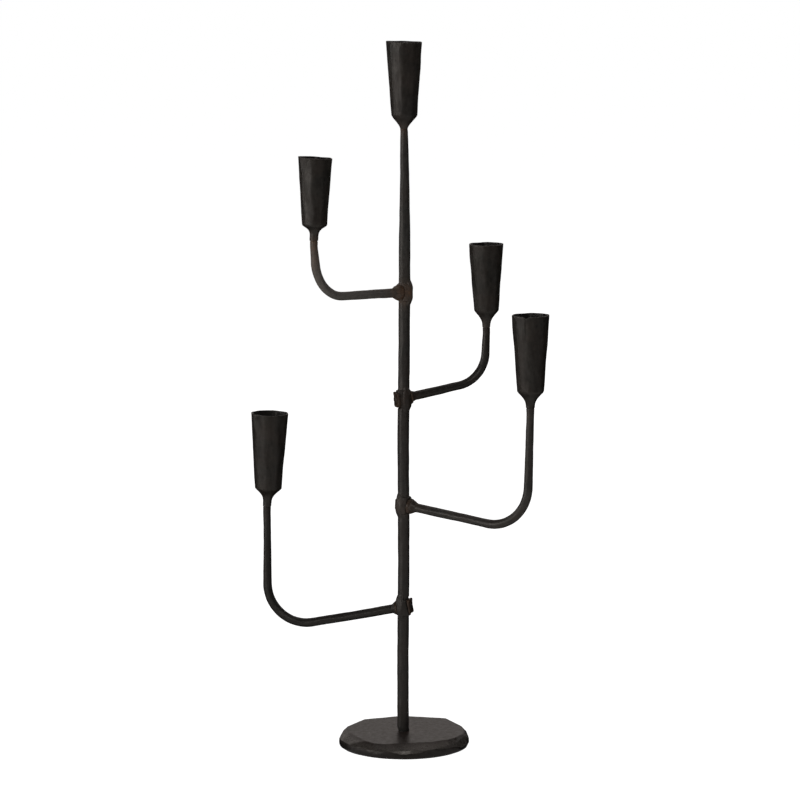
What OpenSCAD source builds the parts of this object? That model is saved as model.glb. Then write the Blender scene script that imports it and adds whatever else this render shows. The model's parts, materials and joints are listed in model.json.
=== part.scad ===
// Five-light forged iron candelabrum: a thick round foot, one tapering stem with a cup on
// its tip, and four J-shaped round-bar arms. Each arm's round tenon passes through an eye
// drifted in the stem and is peened over a burr, so the arm turns stiffly in its eye.
// Millimetres, +Z up. The origin is the centre of the foot's flat underside.
// Every list of four below reads: upper left, upper right, lower right, lower left.

/* [Foot] */
// Diameter of the foot at its widest
foot_d = 131.4; // [100:0.2:180]
// Thickness of the foot
foot_t = 13.2; // [10:0.1:20]
// Diameter of the foot's flat top
foot_top_d = 125.6; // [90:0.2:130]
// Diameter of the flat underside
foot_under_d = 130.8; // [90:0.2:131]
// Direction each straight, sheared edge of the foot faces
foot_shear_azimuth = [25.5, 77.5, 110.4, 150.7, 169]; // [0:0.1:360]
// Distance of each straight edge from the stem's axis
foot_shear_reach = [63, 61.8, 60.2, 60.3, 62.6]; // [58:0.1:66]

/* [Stem] */
// Diameter of the bar where it is parallel
stem_d = 11; // [10:0.1:12]
// Height at which the bar starts to taper
taper_z = 520; // [500:1:560]
// Height of the bar's top shoulder, under the top cup
stem_top_z = 623; // [600:0.5:700]
// Diameter of the bar at its top
stem_tip_d = 7.4; // [6.6:0.1:7.4]
// Diameter of the riveted tenon through the foot
foot_tenon_d = 8; // [6:0.5:9]

/* [Eyes and tenons] */
// Height of each arm's eye
eye_z = [460.3, 353.8, 245.6, 141]; // [100:0.1:480]
// Diameter of the swelling round each eye
eye_d = 17.6; // [17:0.1:20]
// Height of the swelling
eye_h = 29; // [24:1:34]
// Distance from an eye's centre to each flat cheek, along the tenon
eye_face = 5.8; // [5.5:0.05:6.2]
// Diameter of an arm's tenon
tenon_d = 6; // [5:0.1:6.5]
// Radial clearance of a tenon in its eye
running_fit = 0.05; // [0.02:0.01:0.1]
// Gap between an eye's cheek and the collar or burr beside it
cheek_gap = 0.1; // [0.05:0.01:0.2]
// Diameter of the collars
collar_d = 15.4; // [14:0.1:16.4]
// Thickness of each collar
collar_t = [3.4, 1.8, 3.4, 1.8]; // [1.5:0.1:5]
// Side of each burr, a square plate with its corners clipped
burr_side = [11, 15, 10.6, 14.6]; // [10:0.1:15.4]
// Thickness of each burr
burr_t = [1.6, 2.4, 1.6, 1.6]; // [1.5:0.1:4]
// Height of each peened head
head_h = [1.2, 2.2, 1.2, 1.2]; // [1:0.1:2.5]

/* [Arms] */
// Direction each arm points, seen from above
arm_azimuth = [225, 17, 330, 165]; // [0:1:360]
// Upward slope of each arm's long run, and of its tenon in line with it
arm_slope = [2.4, 10.1, -5.9, -12.3]; // [-13:0.1:12]
// Distance from the stem's axis to the corner of the bend
arm_corner = [117.7, 84.2, 139.5, 143.3]; // [84:0.1:145]
// Radius of the bend
arm_bend_r = [39.5, 33, 41.5, 38.5]; // [30:0.5:44]
// Distance from the stem's axis to the foot of each cup
arm_reach = [123.2, 86.4, 142.7, 143.6]; // [86:0.1:146]
// Height of the foot of each cup
arm_top_z = [521.3, 422.1, 355.6, 237.5]; // [230:0.1:530]
// Diameter of the bar by the stem
arm_root_d = [9.3, 8.8, 9, 9]; // [8:0.1:9.5]
// Diameter of the bar round the bend
arm_bend_d = [8.4, 8.4, 8.8, 8.8]; // [7.5:0.1:9]
// Diameter of the bar under the cup
arm_tip_d = [6.7, 6.7, 7.2, 7]; // [6:0.1:7.2]
// Diameter of the upset shoulder behind the collar
shoulder_d = [14.4, 11.6, 14.2, 14]; // [10:0.1:14.6]
// Distance from an eye's centre to where the shoulder has died into the bar
shoulder_end = [15.6, 12.2, 15.6, 12.2]; // [11:0.1:18]

/* [Cups on the arms] */
// Outside diameter at the mouth
cup_mouth_d = [32.8, 34.2, 36.4, 37.4]; // [32:0.2:40]
// Outside diameter at the floor
cup_floor_d = [24, 24.4, 26, 27]; // [23:0.2:28]
// Length of the tapered body
cup_body_h = [65.7, 67.1, 75.4, 77.3]; // [60:0.1:85]
// Length of the drawn-in neck under the body
cup_neck_h = [14.8, 17, 15.9, 18.5]; // [11:0.1:22]
// Outward lean of each cup
cup_lean = [-0.8, -0.9, -0.5, -1.4]; // [-2:0.1:2]

/* [Top cup] */
// Outside diameter at the mouth
top_mouth_d = 35.6; // [32:0.2:40]
// Outside diameter at the floor
top_floor_d = 25.4; // [23:0.2:28]
// Length of the tapered body
top_body_h = 72.6; // [60:0.1:85]
// Length of the drawn-in neck under the body
top_neck_h = 13; // [11:0.1:22]

/* [All cups] */
// Thickness of a cup's wall
cup_wall = 1.6; // [1.2:0.1:2]
// Depth of the straight seat at the bottom of a cup
seat_h = 8; // [6:0.5:12]
// Outside diameter at the foot of the neck
neck_d = 7.4; // [7.2:0.1:9]
// Diameter of the riveted tenon through a cup's floor
cup_tenon_d = 4.5; // [4:0.1:5]

/* [Hidden] */
$fn = 96;
IRON = [0.16, 0.15, 0.145];
UPPER_LEFT = 0;
UPPER_RIGHT = 1;
LOWER_RIGHT = 2;
LOWER_LEFT = 3;
fixed_fit = 0.03;       // radial clearance round a riveted tenon
head_spread = 1.5;      // how far a rivet's head spreads past its tenon
head_sink = 0.15;       // how far a dressed head lies below a cup's floor
corner_share = 1.28;    // width of a burr over its clipped corners, to its side
seat_fit = 0.4;         // radial clearance of a collar or burr in the flat seat cut for it
seat_reach = 6;         // how far out from a cheek the seat's cutter clears the bar
straight_tip = 6;       // straight end of an arm, in line with its cup
floor_h = 2;            // how far a cup's floor lies above the top of its neck
rim_round = 0.4;        // chamfer of a rim's edges
ring_bevel = 0.6;       // bevel of a collar's edges
burr_bevel = 0.3;       // bevel of a burr's clipped corners
neck_steps = 9;         // flats down a neck's curve
swell_steps = 10;       // flats along a swelling's curve
flare_steps = 8;        // flats along a shoulder's curve
dome_steps = 5;         // flats up a peened head
knuckle = 0.1;          // how far a bar's turns stand proud of its straights
lap = 0.5;              // how far one length of bar runs into the next
eps = 0.01;

// ---- helpers ----

// Turns the x-y plane into the upright plane through the stem that points towards az
module upright_plane(az) {
    rotate([0, 0, az]) rotate([90, 0, 0]) children();
}

// Lays +Z along the tenon of arm i, outwards from the centre of its eye
module along_tenon(i) {
    translate([0, 0, eye_z[i]]) rotate([0, 90 - arm_slope[i], arm_azimuth[i]]) children();
}

// A straight length of bar in the x-y plane, from point a at angle dir
module bar(a, dir, length, d_start, d_end) {
    translate([a[0], a[1], 0]) rotate([0, 0, dir]) rotate([0, 90, 0])
        cylinder(h = length, d1 = d_start, d2 = d_end);
}

// A flat ring with bevelled edges, standing on z = 0
module ring(d, t, bore_d, bevel) {
    difference() {
        union() {
            cylinder(h = bevel, d1 = d - 2 * bevel, d2 = d);
            translate([0, 0, bevel]) cylinder(h = t - 2 * bevel, d = d);
            translate([0, 0, t - bevel]) cylinder(h = bevel, d1 = d, d2 = d - 2 * bevel);
        }
        translate([0, 0, -1]) cylinder(h = t + 2, d = bore_d);
    }
}

// A domed peened head, standing on z = 0
module peened_head(d, h) {
    rotate_extrude() polygon(concat(
        [[0, 0]],
        [for (k = [0 : dome_steps])
            let (turn = 90 * k / dome_steps)
            [(d / 2 + head_spread) * cos(turn), h * sin(turn)]]
    ));
}

// A rivet head dressed flush, its wide end down on z = 0
module flush_head(d) {
    cylinder(h = head_spread, d1 = d + 2 * head_spread, d2 = d);
}

// The countersink that a flush head fills, with the hole beyond it
module countersunk_hole(d, depth) {
    translate([0, 0, -eps]) cylinder(
        h = head_spread + eps,
        d1 = d + 2 * (head_spread + fixed_fit + eps),
        d2 = d + 2 * fixed_fit);
    cylinder(h = depth, d = d + 2 * fixed_fit);
}

// ---- foot and stem ----

module foot() {
    color(IRON) difference() {
        rotate_extrude() polygon([
            [0, 0],
            [foot_under_d / 2, 0],
            [foot_d / 2 - 0.1, 2.4],
            [foot_d / 2, foot_t * 0.45],
            [foot_d / 2 - 0.5, foot_t * 0.72],
            [foot_top_d / 2, foot_t],
            [0, foot_t]
        ]);
        for (k = [0 : len(foot_shear_azimuth) - 1]) rotate([0, 0, foot_shear_azimuth[k]])
            translate([foot_shear_reach[k], -foot_d / 2, -1])
                cube([foot_d, foot_d, foot_t + 2]);
        countersunk_hole(foot_tenon_d, foot_t + 1);
    }
}

// Half-width of an eye's swelling at a share t of its half-height
function swell_r(t) = stem_d / 2 - 0.2 + (eye_d - stem_d + 0.4) / 2 * (1 - t ^ 2.6) ^ 1.6;

module swelling() {
    rotate_extrude() polygon(concat(
        [[0, -eye_h / 2]],
        [for (i = [-swell_steps : swell_steps])
            let (t = i / swell_steps)
            [swell_r(abs(t)), t * eye_h / 2]],
        [[0, eye_h / 2]]
    ));
}

module stem_eye(i) {
    intersection() {
        translate([0, 0, eye_z[i]]) swelling();
        along_tenon(i) cube([2 * eye_h, 2 * eye_d, 2 * eye_face], center = true);
    }
}

// The hole for an arm's tenon, and the flat seats cut square to it on both sides
module eye_hole(i) {
    along_tenon(i) {
        cylinder(h = 2 * eye_d, d = tenon_d + 2 * running_fit, center = true);
        translate([0, 0, eye_face]) cylinder(h = seat_reach, d = collar_d + 2 * seat_fit);
        translate([0, 0, -eye_face - seat_reach])
            cylinder(h = seat_reach, d = burr_side[i] * corner_share + 2 * seat_fit);
    }
}

module stem() {
    color(IRON) difference() {
        union() {
            flush_head(foot_tenon_d);
            cylinder(h = foot_t + lap, d = foot_tenon_d);
            translate([0, 0, foot_t]) cylinder(h = taper_z - foot_t, d = stem_d);
            translate([0, 0, taper_z])
                cylinder(h = stem_top_z - taper_z, d1 = stem_d, d2 = stem_tip_d);
            translate([0, 0, stem_top_z]) cup_rivet(top_neck_h);
            for (i = [UPPER_LEFT : LOWER_LEFT]) stem_eye(i);
        }
        for (i = [UPPER_LEFT : LOWER_LEFT]) eye_hole(i);
    }
}

// ---- cups ----

// Share of the way from neck to body radius, at a share t of the neck's height
function neck_curve(t) = 1 - (1 - t ^ 1.8) ^ 1.3;

// A cup standing on z = 0: neck, tapered body, straight seat and open mouth
module cup(mouth_d, floor_d, body_h, neck_h) {
    top = neck_h + body_h;
    floor_z = neck_h + floor_h;
    mouth_r = mouth_d / 2;
    seat_r = floor_d / 2 - cup_wall;
    color(IRON) difference() {
        rotate_extrude() polygon(concat(
            [[0, 0]],
            [for (i = [0 : neck_steps])
                let (t = i / neck_steps)
                [neck_d / 2 + (floor_d - neck_d) / 2 * neck_curve(t), t * neck_h]],
            [[mouth_r, top - rim_round],
             [mouth_r - rim_round, top],
             [mouth_r - cup_wall + rim_round, top],
             [mouth_r - cup_wall, top - rim_round],
             [seat_r, floor_z + seat_h],
             [0, floor_z + seat_h]]
        ));
        translate([0, 0, floor_z]) cylinder(h = seat_h + 1, r = seat_r);
        translate([0, 0, floor_z]) mirror([0, 0, 1])
            countersunk_hole(cup_tenon_d, floor_z + 1);
    }
}

// The tenon that holds a cup standing on z = 0, riveted flush in the cup's floor
module cup_rivet(neck_h) {
    top = neck_h + floor_h - head_sink;
    translate([0, 0, -lap]) cylinder(h = top + lap, d = cup_tenon_d);
    translate([0, 0, top]) mirror([0, 0, 1]) flush_head(cup_tenon_d);
}

module top_cup() {
    translate([0, 0, stem_top_z]) cup(top_mouth_d, top_floor_d, top_body_h, top_neck_h);
}

// Stands children on the end of arm i, in line with its cup
module on_arm_end(i) {
    rotate([0, 0, arm_azimuth[i]]) translate([arm_reach[i], 0, arm_top_z[i]])
        rotate([0, cup_lean[i], 0]) children();
}

module arm_cup(i) {
    on_arm_end(i) cup(cup_mouth_d[i], cup_floor_d[i], cup_body_h[i], cup_neck_h[i]);
}

// ---- arms ----

module arm_bar(i) {
    slope = arm_slope[i];
    along = [cos(slope), sin(slope)];
    root = [0, eye_z[i]] + shoulder_end[i] * along;
    corner = [arm_corner[i], eye_z[i] + arm_corner[i] * tan(slope)];
    tip = [arm_reach[i], arm_top_z[i]] - straight_tip * [sin(cup_lean[i]), cos(cup_lean[i])];
    rise = atan2(tip[1] - corner[1], tip[0] - corner[0]);
    turn = rise - slope;
    tangent = arm_bend_r[i] * tan(turn / 2);
    bend_start = corner - tangent * along;
    bend_end = corner + tangent * [cos(rise), sin(rise)];
    centre = bend_start + arm_bend_r[i] * [-along[1], along[0]];
    upright_plane(arm_azimuth[i]) {
        bar(root, slope, norm(bend_start - root) + lap, arm_root_d[i], arm_bend_d[i] - knuckle);
        translate([centre[0], centre[1], 0]) rotate([0, 0, slope - 90])
            rotate_extrude(angle = turn) translate([arm_bend_r[i], 0])
                circle(d = arm_bend_d[i]);
        bar(bend_end - lap * [cos(rise), sin(rise)], rise, norm(tip - bend_end) + lap,
            arm_bend_d[i] - knuckle, arm_tip_d[i]);
        translate([tip[0], tip[1], 0]) sphere(d = arm_tip_d[i] + knuckle);
    }
}

// Radius of a shoulder at a share t of its length, from the collar to the bar
function flare_r(i, t) = arm_root_d[i] / 2 - knuckle
    + (shoulder_d[i] - arm_root_d[i]) / 2 * (1 - t * t * (3 - 2 * t));

// Tenon, upset shoulder and peened end, along the eye's hole
module arm_tenon(i) {
    collar_end = eye_face + cheek_gap + collar_t[i];
    burr_end = eye_face + cheek_gap + burr_t[i];
    flare_l = shoulder_end[i] - collar_end + lap;
    along_tenon(i) {
        translate([0, 0, -burr_end - lap])
            cylinder(h = burr_end + collar_end + 2 * lap, d = tenon_d);
        translate([0, 0, -burr_end]) mirror([0, 0, 1]) peened_head(tenon_d, head_h[i]);
        translate([0, 0, collar_end]) rotate_extrude() polygon(concat(
            [[0, 0]],
            [for (k = [0 : flare_steps])
                let (t = k / flare_steps)
                [flare_r(i, t), t * flare_l]],
            [[0, flare_l]]
        ));
    }
}

module arm(i) {
    color(IRON) union() {
        arm_tenon(i);
        arm_bar(i);
        on_arm_end(i) {
            translate([0, 0, -straight_tip]) cylinder(h = straight_tip, d = arm_tip_d[i]);
            cup_rivet(cup_neck_h[i]);
        }
    }
}

module collar(i) {
    color(IRON) along_tenon(i) translate([0, 0, eye_face + cheek_gap])
        ring(collar_d, collar_t[i], tenon_d + 2 * fixed_fit, ring_bevel);
}

module burr(i) {
    color(IRON) along_tenon(i) translate([0, 0, -eye_face - cheek_gap - burr_t[i]])
        intersection() {
            ring(burr_side[i] * corner_share, burr_t[i], tenon_d + 2 * fixed_fit, burr_bevel);
            cube([burr_side[i], burr_side[i], 2 * burr_t[i] + 1], center = true);
        }
}

foot();
stem();
top_cup();
arm(UPPER_LEFT);  // upper_left_arm
arm_cup(UPPER_LEFT);  // upper_left_cup
collar(UPPER_LEFT);  // upper_left_collar
burr(UPPER_LEFT);  // upper_left_burr
arm(UPPER_RIGHT);  // upper_right_arm
arm_cup(UPPER_RIGHT);  // upper_right_cup
collar(UPPER_RIGHT);  // upper_right_collar
burr(UPPER_RIGHT);  // upper_right_burr
arm(LOWER_RIGHT);  // lower_right_arm
arm_cup(LOWER_RIGHT);  // lower_right_cup
collar(LOWER_RIGHT);  // lower_right_collar
burr(LOWER_RIGHT);  // lower_right_burr
arm(LOWER_LEFT);  // lower_left_arm
arm_cup(LOWER_LEFT);  // lower_left_cup
collar(LOWER_LEFT);  // lower_left_collar
burr(LOWER_LEFT);  // lower_left_burr
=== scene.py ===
"""The looks of a five-light forged iron candelabrum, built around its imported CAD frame."""

import json
import math

import bmesh
import bpy
import numpy as np
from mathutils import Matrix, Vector, noise
from mathutils.bvhtree import BVHTree
from mathutils.kdtree import KDTree


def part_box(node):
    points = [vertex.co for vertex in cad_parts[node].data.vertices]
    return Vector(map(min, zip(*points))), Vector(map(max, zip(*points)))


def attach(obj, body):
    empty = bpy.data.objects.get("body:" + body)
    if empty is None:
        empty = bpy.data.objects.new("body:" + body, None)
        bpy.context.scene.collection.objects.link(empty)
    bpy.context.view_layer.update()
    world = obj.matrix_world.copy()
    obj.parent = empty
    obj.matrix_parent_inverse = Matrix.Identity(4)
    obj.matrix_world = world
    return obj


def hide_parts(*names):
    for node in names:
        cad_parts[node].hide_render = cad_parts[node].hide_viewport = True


MM = 0.001
UP = Vector((0, 0, 1))
RIGHT = Vector((1, 0, 0))
VIEWER = math.radians(-90)   # the side of a piece that faces the camera, counted from +X

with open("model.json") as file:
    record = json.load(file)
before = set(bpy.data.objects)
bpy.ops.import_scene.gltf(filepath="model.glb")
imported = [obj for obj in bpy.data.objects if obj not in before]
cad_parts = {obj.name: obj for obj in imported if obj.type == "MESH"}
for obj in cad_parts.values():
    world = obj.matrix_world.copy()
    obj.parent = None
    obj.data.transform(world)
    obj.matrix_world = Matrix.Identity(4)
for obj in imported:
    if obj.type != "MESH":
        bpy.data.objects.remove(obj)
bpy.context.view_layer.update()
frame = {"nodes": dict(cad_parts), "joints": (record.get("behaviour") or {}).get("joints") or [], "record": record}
record = frame["record"]
joints = {joint["child"]: joint for joint in frame["joints"]}
seats = {mount["name"]: mount for mount in record["mounts"] if mount["kind"] == "bore"}
branches = ["upper_left", "upper_right", "lower_right", "lower_left"]


# ---- reading shapes off the CAD nodes ----

def tree_of(node):
    mesh = frame["nodes"][node].data
    points = [vertex.co.copy() for vertex in mesh.vertices]
    faces = [tuple(face.vertices) for face in mesh.polygons]
    return BVHTree.FromPolygons(points, faces)


def reach(tree, start, direction):
    """Distance from start to the first surface that way, or None."""
    return tree.ray_cast(start, direction)[3]


class Axis:
    """A line through a piece: origin, direction, and the two directions across it."""

    def __init__(self, origin, along, hint):
        self.origin = Vector(origin)
        self.along = Vector(along).normalized()
        hint = Vector(hint)
        self.side = (hint - self.along * hint.dot(self.along)).normalized()
        self.across = self.along.cross(self.side)

    def span(self, node):
        """How far along the axis a node reaches, as its lowest and highest value."""
        heights = [(vertex.co - self.origin).dot(self.along)
                   for vertex in frame["nodes"][node].data.vertices]
        return min(heights), max(heights)

    def at(self, height):
        return self.origin + self.along * height

    def outside(self, tree, height, way=None, far=45 * MM):
        """Radius of a node's outside at a height, measured from outside inwards."""
        way = way or self.side
        gap = reach(tree, self.at(height) + way * far, -way)
        return far - gap if gap is not None and gap < far else 0.0

    def widest(self, tree, height, far):
        """Largest outside radius at a height, over every direction round the axis."""
        ways = [math.cos(turn) * self.side + math.sin(turn) * self.across
                for turn in np.linspace(0, 2 * math.pi, 73)]
        return max(self.outside(tree, height, way, far) for way in ways)

    def inside(self, tree, height):
        """Radius of a hollow at a height, measured from the axis outwards."""
        return reach(tree, self.at(height), self.side) or 0.0


def profile(measure, low, high, step, jump=0.35 * MM):
    """Rows of (height, radius), with both sides of every sharp step in the radius."""
    heights = list(np.linspace(low, high, max(2, int(round((high - low) / step)) + 1)))
    rows = [(heights[0], measure(heights[0]))]
    for height in heights[1:]:
        radius = measure(height)
        if abs(radius - rows[-1][1]) > jump:
            a, ra = rows[-1]
            b, rb = height, radius
            for _ in range(12):
                middle = (a + b) / 2
                rm = measure(middle)
                if abs(rm - ra) < abs(rm - rb):
                    a, ra = middle, rm
                else:
                    b, rb = middle, rm
            if abs(ra - rb) > jump / 2:
                rows.append((a, ra))
                rows.append((b, rb))
        rows.append((height, radius))
    return rows


# ---- mesh helpers ----

def make_object(name, vertices, faces, sharp=38):
    mesh = bpy.data.meshes.new(name)
    mesh.from_pydata([tuple(v) for v in vertices], [], faces)
    work = bmesh.new()
    work.from_mesh(mesh)
    bmesh.ops.remove_doubles(work, verts=work.verts, dist=1e-7)
    bmesh.ops.recalc_face_normals(work, faces=work.faces)
    work.to_mesh(mesh)
    work.free()
    mesh.shade_smooth()
    mesh.set_sharp_from_angle(angle=math.radians(sharp))
    made = bpy.data.objects.new(name, mesh)
    bpy.context.scene.collection.objects.link(made)
    return made


def grid_faces(rows, columns, closed_rows):
    faces = []
    last = rows if closed_rows else rows - 1
    for i in range(last):
        j = (i + 1) % rows
        for k in range(columns):
            n = (k + 1) % columns
            faces.append((i * columns + k, i * columns + n, j * columns + n, j * columns + k))
    return faces


def capped_bar(points, tip, end):
    """Vertices and faces of a bar from its rings of points, with a fan over each end."""
    count, columns = points.shape[:2]
    vertices = list(points.reshape(-1, 3)) + [tip, end]
    faces = grid_faces(count, columns, False)
    first = count * columns
    last_row = first - columns
    for k in range(columns):
        n = (k + 1) % columns
        faces.append((first, n, k))
        faces.append((first + 1, last_row + k, last_row + n))
    return vertices, faces


def write_attribute(made, name, values):
    written = made.data.attributes.new(name, "FLOAT", "POINT")
    written.data.foreach_set("value", np.asarray(values, dtype=np.float32))


def smooth_step(value, low, high):
    share = np.clip((value - low) / (high - low), 0, 1)
    return share * share * (3 - 2 * share)


def soft_min(values, softness):
    """The least of a stack of arrays, with its corners rounded off."""
    low = values.min(axis=0)
    return low - softness * np.log(np.exp(-(values - low) / softness).sum(axis=0))


def wrap(angle):
    return (angle + math.pi) % (2 * math.pi) - math.pi


def from_view(theta, degrees):
    """Angle of each point from a direction given in degrees from the viewer's side."""
    return wrap(theta - VIEWER - math.radians(degrees))


def ripple(points, size, seed, stretch=1.0):
    """Smooth noise from about -1 to 1, with features of about that size, stretched upwards."""
    shift = np.array((seed * 7.3, seed * 3.1, seed * 5.7))
    scaled = np.asarray(points) / (size * np.array((1, 1, stretch))) + shift
    return np.array([noise.noise(p) for p in scaled])


# ---- hammer work ----

def hammered(radius, theta, height, blows, softness):
    """Radius after flat hammer blows. A blow is (angle, height, depth share, length)."""
    stack = [radius * 1.012]
    for angle, place, depth, length in blows:
        turn = wrap(theta - angle)
        facing = np.where(np.abs(turn) < 1.2, np.cos(turn), np.cos(1.2))
        crown = radius * 0.06 * ((height - place) / length) ** 2
        stack.append((radius * (1 - depth) + crown) / facing)
    return soft_min(np.array(stack), softness)


def scattered_blows(rng, low, high, pitch, depth, around=5):
    """Blows all along a bar, a few round it at each place."""
    blows = []
    place = low
    while place < high:
        start = rng.uniform(0, 2 * math.pi)
        for k in range(around):
            blows.append((start + 2 * math.pi * k / around + rng.uniform(-0.3, 0.3),
                          place + rng.uniform(-0.4, 0.4) * pitch,
                          depth * rng.uniform(0.4, 1.3),
                          pitch * rng.uniform(0.8, 1.3)))
        place += pitch
    return blows


def hammer_bar(radii, heights, columns, blows, softness, window):
    """The hammered radius of every point of a bar, row by row."""
    theta = np.arange(columns) * 2 * math.pi / columns
    result = np.zeros((len(heights), columns))
    for i, (radius, height) in enumerate(zip(radii, heights)):
        near = [blow for blow in blows if abs(blow[1] - height) < window]
        result[i] = hammered(np.full(columns, radius), theta, height, near, softness)
    return theta, result


# ---- cups ----

CUP_COLUMNS = 160
CUP_STEP = 1.1 * MM
CUP_FLOOR = 2 * MM
RIM_ROUND = 0.45 * MM
RIM_TURNS = (25, 50, 90, 130, 155)
RIM_DEPTH = 9 * MM
RIM_SINK = 0.15 * MM
SEAM_STEP = 0.45 * MM
NOTCH_WIDTH = 0.11
# Share of the wall's mean radius that planishing leaves as it was
KEPT_MEAN = 0.6

# Each cup's planished flats, as (direction from the viewer's side in degrees, depth share)
CUP_FLATS = {
    "top": [(-66, .03), (-27, .03), (14, .035), (55, .035), (98, .04), (150, .04), (-160, .035),
            (-112, .04)],
    "upper_left": [(-70, .03), (-30, .045), (12, .03), (52, .04), (96, .04), (150, .04), (-160, .04),
                   (-114, .04)],
    "upper_right": [(-62, .03), (-22, .035), (22, .045), (64, .04), (108, .04), (154, .04), (-156, .04),
                    (-106, .04)],
    "lower_right": [(-68, .03), (-28, .03), (24, .05), (66, .04), (110, .04), (156, .04), (-158, .04),
                    (-112, .04)],
    "lower_left": [(-72, .035), (-32, .045), (10, .035), (52, .04), (96, .04), (140, .05), (-170, .04),
                   (-118, .04)],
}
# Where each cup's sheet laps over itself, in degrees from the viewer's side
CUP_SEAM = {"top": 170, "upper_left": 150, "upper_right": -165, "lower_right": -18, "lower_left": 175}
# How sharply each neck is drawn in, how far it is swelled at its foot, and how far the body
# stands to the right of its neck, in millimetres
CUP_NECK = {"top": (0.8, 0.0, 0.35), "upper_left": (2.9, 0.5, 0.8), "upper_right": (1.4, 0.3, 0.4),
            "lower_right": (1.4, 0.8, 0.35), "lower_left": (2.0, 0.6, 1.05)}
# How brown the fire left each branch's joint and neck, and how rusty each neck is
FIRED = {"top": 0.9, "upper_left": 1.0, "upper_right": 0.6, "lower_right": 0.4, "lower_left": 0.25}
CUP_RUST = {"top": 0.34, "upper_left": 0.3, "upper_right": 0.28, "lower_right": 0.0, "lower_left": 0.06}
# How deep the rim dips where the lap starts
CUP_NOTCH = {"lower_right": 1.4 * MM}
# How far each mouth is out of level: (lift of its left side, lift of its near side), in millimetres
CUP_TILT = {"top": (0.55, 0.1), "upper_left": (0.8, 0.1), "upper_right": (0.1, 0), "lower_right": (-0.1, 0),
            "lower_left": (0.1, 0)}


def cup_rows(tree, axis, low, high, floor):
    """The cup's section as (part, height, radius), and the profiles it was made from."""
    hole = profile(lambda h: axis.inside(tree, h), floor - 0.05 * MM, low + 0.02 * MM, 0.5 * MM)
    outer = profile(lambda h: axis.outside(tree, h), low + 0.01 * MM, high - RIM_ROUND, CUP_STEP)
    inner = profile(lambda h: axis.inside(tree, h), high - RIM_ROUND, floor + 0.05 * MM, CUP_STEP)
    hole_r, wall_r = hole[0][1], inner[-1][1]
    half_wall = (outer[-1][1] - inner[0][1]) / 2
    rows = [("hole", low, hole[-1][1])]
    rows += [("outer", h, r) for h, r in outer]
    for turn in RIM_TURNS:
        bend = math.radians(turn)
        rows.append(("outer" if turn <= 90 else "inner",
                     high - RIM_ROUND * (1 - math.sin(bend)),
                     outer[-1][1] - half_wall * (1 - math.cos(bend))))
    rows += [("inner", h, r) for h, r in inner]
    rows += [("floor", floor, hole_r + (wall_r - hole_r) * share) for share in (1, 0.8, 0.6)]
    rows.append(("hole", floor, hole_r))
    rows += [("hole", h, r) for h, r in hole[1:-1]]
    return rows, outer, hole_r, wall_r


def cup_growth(seat_name, rng, share, theta, outer_r, height, is_outer):
    """How far the planished flats and the lap of the sheet move the wall outwards."""
    stack = [outer_r * 1.02 * np.ones_like(theta)]
    for angle, depth in CUP_FLATS[seat_name]:
        drift = math.radians(rng.uniform(-16, 16)) * (share - 0.5)
        drift = drift + math.radians(4) * np.sin(share * rng.uniform(9, 15) + rng.uniform(0, 6))
        waves = 1 + 0.5 * np.sin(share * rng.uniform(6, 10) + rng.uniform(0, 6))
        deep = depth * waves * smooth_step(share, -0.12, 0.2)
        facing = np.cos(np.clip(wrap(from_view(theta, angle) - drift), -1.1, 1.1))
        stack.append(outer_r * (1.004 - 0.7 * deep) / facing)
    grow = soft_min(np.array(stack), 0.3 * MM) - outer_r
    mean = grow[is_outer].mean(axis=1) * KEPT_MEAN
    given_back = np.interp(height[:, 0], height[is_outer][:, 0], mean)[:, None]
    grow = (grow - given_back) * smooth_step(share, -0.22, 0.05)

    # the sheet laps over itself, so the radius steps back where its edge lies
    lap_turn = from_view(theta, CUP_SEAM[seat_name]) / (2 * math.pi)
    lap_run = np.where(lap_turn < 0, lap_turn + 1, lap_turn)
    lap = SEAM_STEP * (smooth_step(lap_run, 0.0, 1.0) - 0.5)
    return grow + lap * smooth_step(share, 0.55, 1.0)


def rim_lift(seat_name, rng, theta, height, high):
    """How far the uneven mouth moves up, with the notch where the lap starts."""
    sway = 0.12 * MM * np.sin(theta * 2 + rng.uniform(0, 6))
    sway = sway + 0.1 * MM * np.sin(theta * 5 + rng.uniform(0, 6))
    left_lift, near_lift = CUP_TILT[seat_name]
    sway = sway - left_lift * MM * np.cos(theta) - near_lift * MM * np.sin(theta)
    across_notch = from_view(theta, CUP_SEAM[seat_name]) / NOTCH_WIDTH
    dip = CUP_NOTCH.get(seat_name, 0.0) * np.exp(-across_notch ** 2)
    return (sway - RIM_SINK - dip) * smooth_step(height, high - RIM_DEPTH, high)


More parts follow.
